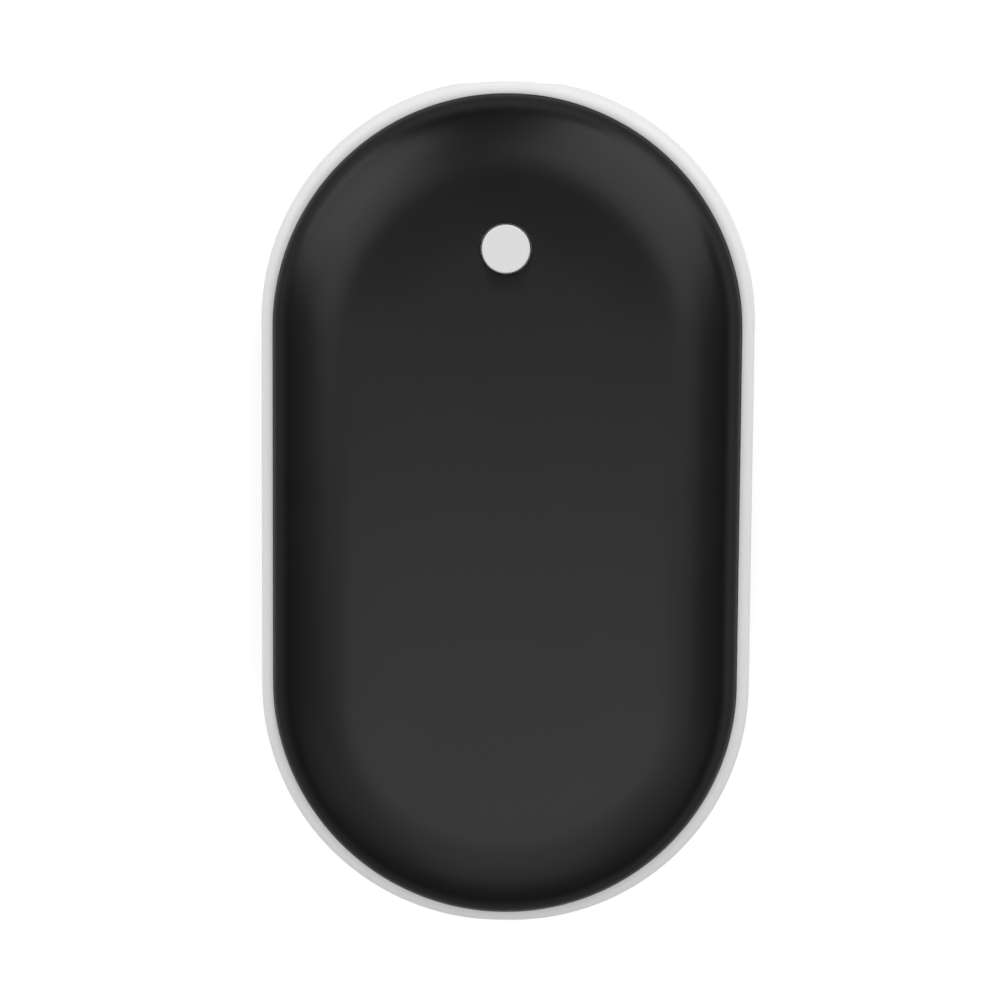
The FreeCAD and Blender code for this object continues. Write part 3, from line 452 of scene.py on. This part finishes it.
def lugTree():
    tree = bpy.data.node_groups.new("lugs", "GeometryNodeTree")
    tree.is_modifier = True
    tree.interface.new_socket(name="Profile", in_out="INPUT", socket_type="NodeSocketGeometry")
    for label in ("Across", "Along", "Diameter", "Height", "Root", "Middle"):
        tree.interface.new_socket(name=label, in_out="INPUT", socket_type="NodeSocketFloat")
    tree.interface.new_socket(name="Piece", in_out="OUTPUT", socket_type="NodeSocketGeometry")
    bench = Bench(tree)
    given = bench.node("NodeGroupInput")
    size = given.other("Diameter")
    tall = given.other("Height")
    rod = bench.node("GeometryNodeMeshCylinder", None,
                     {"Vertices": 48, "Radius": size / 2, "Depth": tall}, "Mesh")
    root = given.other("Root")
    block = bench.node("GeometryNodeMeshCube", None, {
        "Size": bench.node("ShaderNodeCombineXYZ", None, [root, size, tall])}, "Mesh")
    moved = bench.node("GeometryNodeTransform", None, {
        "Geometry": block, "Translation": bench.node("ShaderNodeCombineXYZ", None, [root / 2, 0.0, 0.0])})
    lug = bench.node("GeometryNodeMeshBoolean", {"operation": "UNION", "solver": "EXACT"},
                     {"Mesh 2": [rod, moved]})
    spots = bench.node("GeometryNodeMeshGrid", None, {
        "Size X": given.other("Across"), "Size Y": given.other("Along"), "Vertices X": 2, "Vertices Y": 2})
    spot = bench.node("ShaderNodeSeparateXYZ", None, [bench.node("GeometryNodeInputPosition")])
    turned = bench.node("ShaderNodeCombineXYZ", None, [0.0, 0.0, (spot < 0.0) * math.pi])
    four = bench.node("GeometryNodeInstanceOnPoints", None,
                      {"Points": spots, "Instance": lug, "Rotation": turned})
    lifted = bench.node("GeometryNodeTransform", None, {
        "Geometry": four,
        "Translation": bench.node("ShaderNodeCombineXYZ", None, [0.0, 0.0, given.other("Middle")])})
    real = bench.node("GeometryNodeRealizeInstances", None, {"Geometry": lifted})
    bench.node("NodeGroupOutput", None, [real])
    return tree


def makeLugs(name, settings, diameter, height, root, middle):
    piece = newObject(name, bpy.data.meshes.new(name))
    modifier = piece.modifiers.new("lugs", "NODES")
    if "lugs" not in trees:
        trees["lugs"] = lugTree()
    modifier.node_group = trees["lugs"]
    across, along = settings["place"]
    setInputs(modifier, {"Across": 2 * across * mm, "Along": 2 * along * mm, "Diameter": diameter * mm,
                         "Height": height * mm, "Root": root * mm, "Middle": middle * mm})
    return bake(piece)


def makeBand(settings, finish):
    low, high = (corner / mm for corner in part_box("mid_frame"))
    middle = (low.z + high.z) / 2
    spine = -low.y - high.x  # the plain end: the other one has the socket's pocket
    coverRadius = (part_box("front_cover")[1] / mm).x
    wall = coverSettings["wall"]
    inside = coverRadius - wall - settings["lipGap"] - settings["lipWall"]
    root = inside + settings["lipWall"] / 2 - lugSettings["place"][0]
    lugs = makeLugs("lugs", lugSettings, lugSettings["diameter"], lugSettings["height"], root, middle)
    bores = makeLugs("bores", lugSettings, lugSettings["hole"], 2 * lugSettings["height"],
                     lugSettings["boreRoot"], middle)
    floor = -low.y - portSettings["flatDepth"]
    half = portSettings["flatHeight"] / 2
    soft = portSettings["flatRound"]
    draft = portSettings["flatDraft"]
    depth = portSettings["flatDepth"]
    flat = [(0, 0)] + arc((half - soft, soft), soft, -90, 0, 6) + [(half + draft, depth)]
    flat += [(half + 2 * draft, 2.5 * depth), (0, 2.5 * depth)]
    pocket = carry("portPocket", flat, portSettings["flatWidth"] / 2 - half, finish, 24,
                   alongY(floor * mm, middle * mm))
    slot = portSettings["height"] / 2 + portSettings["gap"]
    lead = portSettings["leadIn"]
    back, past = -portSettings["cutDepth"], portSettings["cutPast"]
    through = [(0, back), (slot, back), (slot, -lead)] + arc((slot + lead, -lead), lead, 180, 90, 5)[1:]
    through += [(slot + lead, past), (0, past)]
    span = (portSettings["width"] - portSettings["height"]) / 2
    opening = carry("portOpening", through, span, finish, 24, alongY(floor * mm, middle * mm))
    profile = bandProfile(high.x, coverRadius, wall, middle, settings)
    band = carry("midBand", profile, spine, finish, 64, cutters=[pocket, opening, bores], added=[lugs])
    place(band, "housing", "white_band", "mid_frame")


# Button: a flat cap with a soft edge, the flange that keeps it in and the stem to the switch
buttonSettings = {"diameter": 5.8, "edge": 0.2, "flange": 7.8, "flangeLow": 23.2, "flangeHigh": 23.95,
                  "stem": 4.8, "soft": 0.12, "underEdge": 0.3}


def makeButton(settings, finish):
    low, high = (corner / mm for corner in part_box("power_button"))
    axis = (low.y + high.y) / 2
    r, edge, soft = settings["diameter"] / 2, settings["edge"], settings["soft"]
    stem, flange = settings["stem"] / 2, settings["flange"] / 2
    profile = [(0, low.z)] + arc((stem - soft, low.z + soft), soft, -90, 0, 4)
    profile += [(stem, settings["flangeLow"])]
    profile += arc((flange - soft, settings["flangeLow"] + soft), soft, -90, 0, 4)
    profile += arc((flange - soft, settings["flangeHigh"] - soft), soft, 0, 90, 4)
    profile += [(r, settings["flangeHigh"]), (r, high.z - edge - settings["underEdge"])]
    profile += arc((r - edge, high.z - edge), edge, 0, 90, 12)
    profile += [(0.6 * r, high.z), (0.3 * r, high.z), (0, high.z)]
    button = carry("powerButton", profile, 0, finish, 32, Matrix.Translation((0, axis * mm, 0)))
    place(button, "button", "milky_white", "power_button")


coat = makeCoat(coatSettings)
bandFinish = makePlastic("bandPlastic", plasticSettings["band"])
buttonFinish = makePlastic("buttonPlastic", plasticSettings["button"])
makeCovers(coverSettings, coat)
makeBand(bandSettings, bandFinish)
makeButton(buttonSettings, buttonFinish)
print("housing made")


# Socket shell: drawn steel sheet with a turned-in lip
def makePortShell(settings, finish):
    low, high = (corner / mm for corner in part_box("port_shell"))
    outer = settings["height"] / 2
    inner = outer - settings["sheet"]
    depth = high.y - low.y
    soft = settings["lipRound"]
    profile = [(inner, 0), (outer, 0)] + arc((outer - soft, depth - soft), soft, 0, 90, 5)
    profile += arc((inner + soft, depth - soft), soft, 90, 180, 5) + [(inner, 0)]
    shell = carry("portShell", profile, (settings["width"] - settings["height"]) / 2, finish, 24,
                  alongY(low.y * mm, (low.z + high.z) / 2 * mm))
    place(shell, "housing", "zinc_steel", "port_shell")


# Snap dome of the switch: a shallow cap of spring sheet that flattens under the plunger
domeSettings = {"sheet": 0.1, "keep": 0.32}


def makeDome(settings, finish):
    low, high = (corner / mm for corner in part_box("switch_dome"))
    axis = (low.y + high.y) / 2
    half, rise = (high.x - low.x) / 2, high.z - low.z
    ball = (half ** 2 + rise ** 2) / (2 * rise)
    centre = (0, high.z - ball)
    hollow = ball - settings["sheet"]
    outerEdge = math.degrees(math.asin((low.z - centre[1]) / ball))
    innerEdge = math.degrees(math.asin((low.z - centre[1]) / hollow))
    profile = arc(centre, hollow, 90, innerEdge, 10) + arc(centre, ball, outerEdge, 90, 12)
    dome = carry("snapDome", profile, 0, finish, 24, Matrix.Translation((0, axis * mm, 0)))
    place(dome, "housing", "zinc_steel", "switch_dome")
    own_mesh(dome)


# Foam pads: cut sheet with the edges drawn soft, in the room that the cut pad has
foamSettings = {"voxel": 0.28, "softening": 5, "fill": 0.9, "cells": 1700, "cloud": 260, "pores": 0.06,
                "dark": (0.30, 0.30, 0.29), "light": (0.56, 0.56, 0.55)}


def makeFoamFinish(settings):
    material, bench, shader, where = newMaterial("closedFoam")
    cell = bench.node("ShaderNodeTexVoronoi", {"feature": "SMOOTH_F1"},
                      {"Vector": where, "Scale": settings["cells"]})
    wall = cell.between(0.15, 0.75)
    cloud = bench.noise(where, settings["cloud"], 3)
    colour = bench.mixed(0.75 * wall + 0.25 * cloud, settings["dark"] + (1,), settings["light"] + (1,))
    setShader(bench, shader, Base_Color=colour, Roughness=0.86 + 0.1 * wall,
              Normal=bench.bump(wall, settings["pores"] * mm, 0.8))
    return material


def makeFoam(name, node, finish, settings):
    piece = newObject(name, nodes[node].data.copy())
    weld = piece.modifiers.new("weld", "WELD")
    weld.merge_threshold = 1e-6
    remesh = piece.modifiers.new("remesh", "REMESH")
    remesh.mode = "VOXEL"
    remesh.voxel_size = settings["voxel"] * mm
    smooth = piece.modifiers.new("soften", "SMOOTH")
    smooth.factor = 0.5
    smooth.iterations = settings["softening"]
    bake(piece, sharp=60)
    piece.data.materials.clear()
    piece.data.materials.append(finish)
    place(piece, "housing", "foam", node)


# Finishes of the inner pieces: two tones, roughness, grain per metre, its depth in mm
innerFinishes = {
    "bond": {"dark": (0.29, 0.27, 0.24), "light": (0.41, 0.39, 0.36), "roughness": 0.6, "grain": 1400,
             "depth": 0.02},
    "chassis": {"dark": (0.39, 0.40, 0.41), "light": (0.45, 0.46, 0.47), "roughness": 0.5, "grain": 3200,
                "depth": 0.006},
    "cellSleeve": {"dark": (0.08, 0.28, 0.42), "light": (0.12, 0.36, 0.50), "roughness": 0.3, "grain": 900,
                   "depth": 0.006, "stretch": (1, 0.12, 1), "coat": 0.3, "ends": (-38.95, 25.9)},
    "nickel": {"dark": (0.60, 0.57, 0.52), "light": (0.72, 0.69, 0.64), "roughness": 0.3, "grain": 2600,
               "depth": 0.002, "stretch": (0.06, 1, 1), "metal": 1.0},
    "zincSteel": {"dark": (0.54, 0.55, 0.56), "light": (0.70, 0.71, 0.72), "roughness": 0.32, "grain": 4200,
                  "depth": 0.002, "cells": 1500, "metal": 1.0},
    "washerPaper": {"dark": (0.66, 0.69, 0.64), "light": (0.78, 0.81, 0.76), "roughness": 0.85, "grain": 2600,
                    "depth": 0.012, "stretch": (1, 1, 0.2)},
    "blackPlastic": {"dark": (0.030, 0.030, 0.032), "light": (0.042, 0.042, 0.044), "roughness": 0.42,
                     "grain": 5200, "depth": 0.004},
    "contactMetal": {"dark": (0.76, 0.57, 0.24), "light": (0.84, 0.67, 0.32), "roughness": 0.24,
                     "grain": 6000, "depth": 0.001, "stretch": (1, 0.1, 1), "metal": 1.0},
    "lamp": {"dark": (0.80, 0.76, 0.56), "light": (0.90, 0.86, 0.68), "roughness": 0.2, "grain": 1800,
             "depth": 0.002, "coat": 0.5},
    "ferrite": {"dark": (0.08, 0.08, 0.09), "light": (0.17, 0.17, 0.18), "roughness": 0.7, "grain": 3000,
                "depth": 0.01, "cells": 2600},
    "tanCeramic": {"dark": (0.50, 0.38, 0.27), "light": (0.60, 0.46, 0.33), "roughness": 0.38, "grain": 5000,
                   "depth": 0.003, "caps": (-8.0, 4.0, 0.62)},
    "darkCeramic": {"dark": (0.06, 0.06, 0.07), "light": (0.10, 0.10, 0.11), "roughness": 0.36, "grain": 5000,
                    "depth": 0.003, "caps": (0.0, 2.4, 0.5)},
    "sensorResin": {"dark": (0.07, 0.07, 0.09), "light": (0.13, 0.13, 0.15), "roughness": 0.18, "grain": 900,
                    "depth": 0.006, "coat": 0.6},
    "redLead": {"dark": (0.56, 0.03, 0.025), "light": (0.68, 0.05, 0.04), "roughness": 0.4, "grain": 2600,
                "depth": 0.004},
    "blackLead": {"dark": (0.032, 0.032, 0.032), "light": (0.05, 0.05, 0.05), "roughness": 0.4, "grain": 2600,
                  "depth": 0.004},
    "whiteLead": {"dark": (0.76, 0.75, 0.72), "light": (0.84, 0.83, 0.80), "roughness": 0.4, "grain": 2600,
                  "depth": 0.004},
    "yellowLead": {"dark": (0.72, 0.53, 0.06), "light": (0.84, 0.63, 0.11), "roughness": 0.4, "grain": 2600,
                   "depth": 0.004},
}
innerCloud = 220
tinned = (0.66, 0.66, 0.65, 1)
dressedNodes = {
    "bond": ["front_bond", "rear_bond"],
    "chassis": ["cell_tray", "cell_carrier"],
    "cellSleeve": ["left_cell", "right_cell"],
    "nickel": ["positive_strip", "negative_strip", "switch_legs"],
    "zincSteel": ["clamp_screws", "board_screws", "switch_plate"],
    "washerPaper": ["cell_washers"],
    "blackPlastic": ["port_body", "switch_base", "switch_plunger", "control_chip", "charger_chip",
                     "heater_transistors"],
    "contactMetal": ["port_contacts"],
    "lamp": ["status_lights"],
    "ferrite": ["power_coil"],
    "tanCeramic": ["board_capacitors"],
    "darkCeramic": ["board_resistors"],
    "sensorResin": ["thermistor"],
    "redLead": ["positive_lead"],
    "blackLead": ["negative_lead"],
    "whiteLead": ["front_heater_leads", "rear_heater_leads"],
    "yellowLead": ["sensor_lead"],
}


def makeFinish(name, settings):
    material, bench, shader, where = newMaterial(name)
    stretch = settings.get("stretch", (1, 1, 1))
    drawn = bench.node("ShaderNodeMapping", None, {"Vector": where, "Scale": stretch})
    cloud = bench.noise(where, innerCloud, 3)
    grain = bench.noise(drawn, settings["grain"], 3, 0.6)
    if "cells" in settings:  # spangle or pressed powder
        spangle = bench.node("ShaderNodeTexVoronoi", None,
                             {"Vector": where, "Scale": settings["cells"]}, "Color")
        grain = 0.5 * grain + 0.5 * bench.node("ShaderNodeSeparateColor", None, [spangle])
    colour = bench.mixed(0.45 * cloud + 0.55 * grain, settings["dark"] + (1,), settings["light"] + (1,))
    metal = settings.get("metal", 0.0)
    spot = bench.node("ShaderNodeSeparateXYZ", None, [where])
    if "caps" in settings:  # tinned ends of each small part in a row along X
        first, pitch, half = (value * mm for value in settings["caps"])
        metal = abs((spot - first + pitch / 2) % pitch - pitch / 2) > half
    if "ends" in settings:  # bare can past the sleeve
        metal = (spot.other("Y") < settings["ends"][0] * mm) + (spot.other("Y") > settings["ends"][1] * mm)
    if isinstance(metal, Wire):
        colour = bench.mixed(metal, colour, tinned)
    setShader(bench, shader, Base_Color=colour, Roughness=settings["roughness"] + 0.12 * (grain - 0.5),
              Metallic=metal, Coat_Weight=settings.get("coat", 0.0),
              Normal=bench.bump(grain, settings["depth"] * mm, 0.6))
    return material


# Circuit board: copper tracks and pads under green lacquer, bare laminate at the cut edges
boardSettings = {"lacquer": (0.022, 0.19, 0.085, 1), "track": (0.045, 0.30, 0.14, 1),
                 "laminate": (0.42, 0.40, 0.22, 1), "pitch": 0.9, "trackShare": 0.45, "padPitch": 2.5,
                 "padRadius": 0.42, "skin": 0.06, "turnPatch": 190, "trackPatch": 420, "padPatch": 150,
                 "grain": 2400, "relief": 0.03}


def makeBoardFinish(settings, low, high):
    material, bench, shader, where = newMaterial("boardLacquer")
    x = bench.node("ShaderNodeSeparateXYZ", None, [where])
    y, z = x.other("Y"), x.other("Z")
    pitch = settings["pitch"] * mm
    turned = bench.noise(where, settings["turnPatch"], 1) > 0.5
    lane = turned * ((x / pitch) % 1 < settings["trackShare"])
    lane = lane + (1 - turned) * ((y / pitch) % 1 < settings["trackShare"])
    track = lane * (bench.noise(where, settings["trackPatch"], 0) > 0.44)
    step = settings["padPitch"] * mm
    dx, dy = x % step - step / 2, y % step - step / 2
    pad = dx * dx + dy * dy < (settings["padRadius"] * mm) ** 2
    pad = pad * (bench.noise(where, settings["padPatch"], 0) > 0.56)
    face = (z > low + settings["skin"] * mm) * (z < high - settings["skin"] * mm)
    grain = bench.noise(where, settings["grain"], 2)
    colour = bench.mixed(track, settings["lacquer"], settings["track"])
    colour = bench.mixed(pad, colour, tinned)
    colour = bench.mixed(face, colour, settings["laminate"])
    bare = pad * (1 - face)
    rough = 0.3 + 0.45 * face + 0.1 * (grain - 0.5)
    setShader(bench, shader, Base_Color=colour, Metallic=bare, Roughness=rough,
              Normal=bench.bump(track + pad + 0.1 * grain, settings["relief"] * mm, 0.7))
    return material


# Heating film: amber film over one etched conductor that runs up and down
filmSettings = {"film": (0.55, 0.28, 0.05, 1), "shine": (0.68, 0.38, 0.10, 1),
                "conductor": (0.20, 0.11, 0.045, 1), "pitch": 1.5, "share": 0.6, "run": 22.0,
                "turnWidth": 0.9, "cloud": 320, "grain": 3000, "relief": 0.02}


def makeFilmFinish(settings):
    material, bench, shader, where = newMaterial("heatingFilm")
    x = bench.node("ShaderNodeSeparateXYZ", None, [where])
    y = x.other("Y")
    pitch, run, wide = settings["pitch"] * mm, settings["run"] * mm, settings["turnWidth"] * mm
    lane = ((x / pitch) % 1 < settings["share"]) * (abs(y) < run)
    phase = (x / (2 * pitch)) % 1
    ends = 0.5 + settings["share"] / 2
    top = (phase < ends) * (y > run - wide) * (y < run)
    bottom = ((phase + 0.5) % 1 < ends) * (y < wide - run) * (y > -run)
    trace = (lane + top + bottom) > 0.5
    cloud = bench.noise(where, settings["cloud"], 3)
    grain = bench.noise(where, settings["grain"], 2)
    film = bench.mixed(cloud, settings["film"], settings["shine"])
    colour = bench.mixed(trace, film, settings["conductor"])
    setShader(bench, shader, Base_Color=colour, Roughness=0.28 + 0.14 * trace + 0.08 * (grain - 0.5),
              Metallic=0.35 * trace, Normal=bench.bump(trace + 0.15 * cloud, settings["relief"] * mm, 0.7))
    return material


def dress(finish, names):
    for name in names:
        for slot in nodes[name].material_slots:
            slot.material = finish


def dressInside():
    finishes = {name: makeFinish(name, settings) for name, settings in innerFinishes.items()}
    for name, members in dressedNodes.items():
        dress(finishes[name], members)
    low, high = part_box("main_board")
    dress(makeBoardFinish(boardSettings, low.z, high.z), ["main_board"])
    dress(makeFilmFinish(filmSettings), ["front_heater", "rear_heater"])
    makePortShell(portSettings, finishes["zincSteel"])
    makeDome(domeSettings, finishes["zincSteel"])
    foam = makeFoamFinish(foamSettings)
    makeFoam("frontFoam", "front_foam", foam, foamSettings)
    makeFoam("rearFoam", "rear_foam", foam, foamSettings)


dressInside()
print("inside dressed")


# Studio: a pale floor under soft boxes, in a grey room that gets darker towards the floor. The floor's colour
# carries a painted pool of light: lighter near the object, darker far off, and brighter towards the boxes
# floor, floorFar, glow, glowFar, the pool keys and the two radii paint a pool of light into the floor's
# colour
studioSettings = {"floorReach": 3.0, "floor": 0.62, "floorFar": 0.45, "glow": 0.54, "glowFar": 0.06,
                  "paintedPoolSpine": 0.022, "paintedPoolLean": (0.24, 0.08), "nearRadius": 0.078, "farRadius": 0.17,
                  "room": 0.36, "roomLow": 0.21, "roomTurn": 0.75}
lightSettings = {
    # degrees off the vertical, degrees from +Y towards +X, angular half sizes across and up, radiance
    "rightHigh": (36, 44, 25, 10, 1.6),
    "rightMiddle": (55, 43, 27, 9.5, 1.75),
    "rightLow": (73, 40, 25, 9, 2.2),
    "rightSide": (36, 108, 18, 10, 0.6),
    "leftHigh": (36, -62, 20, 10, 1.6),
    "leftMiddle": (55, -50, 22, 9.5, 2.1),
    "leftLow": (78, -53, 22, 13, 1.65),
    "overhead": (16, 180, 24, 12.5, 1.27),
    "overheadWide": (18, 180, 42, 10, 0.26),
    "behindHigh": (36, 180, 55, 10, 0.5),
    "behindMiddle": (46, 180, 18, 16, 0.42),
    "behindLow": (54, 180, 50, 9, 0.38),
}
lightDistance = 0.8
cardSettings = {  # low cards that stand close to the object, given as the lamps are
    "rightCard": (83.5, 39, 16, 6.3, 1.8),
    "leftCard": (83.5, -47, 14, 6.3, 1.1),
}
cardDistance = 0.15


def makeFloor(settings):
    shape = bpy.data.meshes.new("floor")
    reach = settings["floorReach"]
    corners = [(-reach, -reach, 0), (reach, -reach, 0), (reach, reach, 0), (-reach, reach, 0)]
    shape.from_pydata(corners, [], [(0, 1, 2, 3)])
    floor = newObject("floor", shape)
    material, bench, shader, where = newMaterial("paleFloor")
    x = bench.node("ShaderNodeSeparateXYZ", None, [where])
    # painted pool of light: colour and lift are brighter near the object and lean brighter towards the boxes,
    # painted into the floor rather than lit
    past = (abs(x.other("Y")) - settings["paintedPoolSpine"]).maths("MAXIMUM", 0.0)
    away = (x * x + past * past).maths("SQRT")
    leanX, leanY = settings["paintedPoolLean"]  # brighter towards the boxes
    away = away - leanX * x - leanY * x.other("Y")
    far = away.between(settings["nearRadius"], settings["farRadius"])
    tone = bench.mixed(far, grey(settings["floor"]), grey(settings["floorFar"]))
    # what the camera and mirrors see of the floor near the object is lifted to white, under the same shadow;
    # this lift fades out along the painted pool of light, so mirrors also show a painted bright patch near
    # the object
    ray = bench.node("ShaderNodeLightPath")
    seen = (ray + ray.other("Is Glossy Ray") + ray.other("Is Transmission Ray")).maths("MINIMUM", 1.0)
    glow = settings["glow"] + (settings["glowFar"] - settings["glow"]) * far
    setShader(bench, shader, Base_Color=tone, Roughness=0.9, Specular_IOR_Level=0.0, Emission_Strength=1.0,
              Emission_Color=bench.mixed(seen * glow, grey(0), grey(1)))
    shape.materials.append(material)


def makeRoom(settings):
    world = bpy.data.worlds.new("room")
    world.use_nodes = True
    bench = Bench(world.node_tree)
    ground = next(item for item in world.node_tree.nodes if item.type == "BACKGROUND")
    way = bench.node("ShaderNodeTexCoord").other("Generated")
    height = bench.node("ShaderNodeSeparateXYZ", None, [way]).other("Z")
    rise = height.between(0.0, settings["roomTurn"])
    bench.plug(ground.inputs["Color"], bench.mixed(rise, grey(settings["roomLow"]), grey(settings["room"])))
    ground.inputs["Strength"].default_value = 1.0
    bpy.context.scene.world = world


def makeLights(settings, distance):
    for name, (tilt, azimuth, across, up, radiance) in settings.items():
        tilt, azimuth = math.radians(tilt), math.radians(azimuth)
        way = Vector((math.sin(tilt) * math.sin(azimuth), math.sin(tilt) * math.cos(azimuth), math.cos(tilt)))
        lamp = bpy.data.lights.new(name, "AREA")
        lamp.shape = "RECTANGLE"
        lamp.size = 2 * distance * math.tan(math.radians(across))
        lamp.size_y = 2 * distance * math.tan(math.radians(up))
        lamp.energy = radiance * math.pi * lamp.size * lamp.size_y
        holder = bpy.data.objects.new(name, lamp)
        side = Vector((math.cos(azimuth), -math.sin(azimuth), 0))
        holder.matrix_world = (Matrix.Translation(way * distance)
                               @ Matrix((side, way.cross(side), way)).transposed().to_4x4())
        bpy.context.scene.collection.objects.link(holder)


makeFloor(studioSettings)
makeRoom(studioSettings)
makeLights(lightSettings, lightDistance)
makeLights(cardSettings, cardDistance)
bpy.context.scene.view_settings.view_transform = "Standard"
print("studio set")
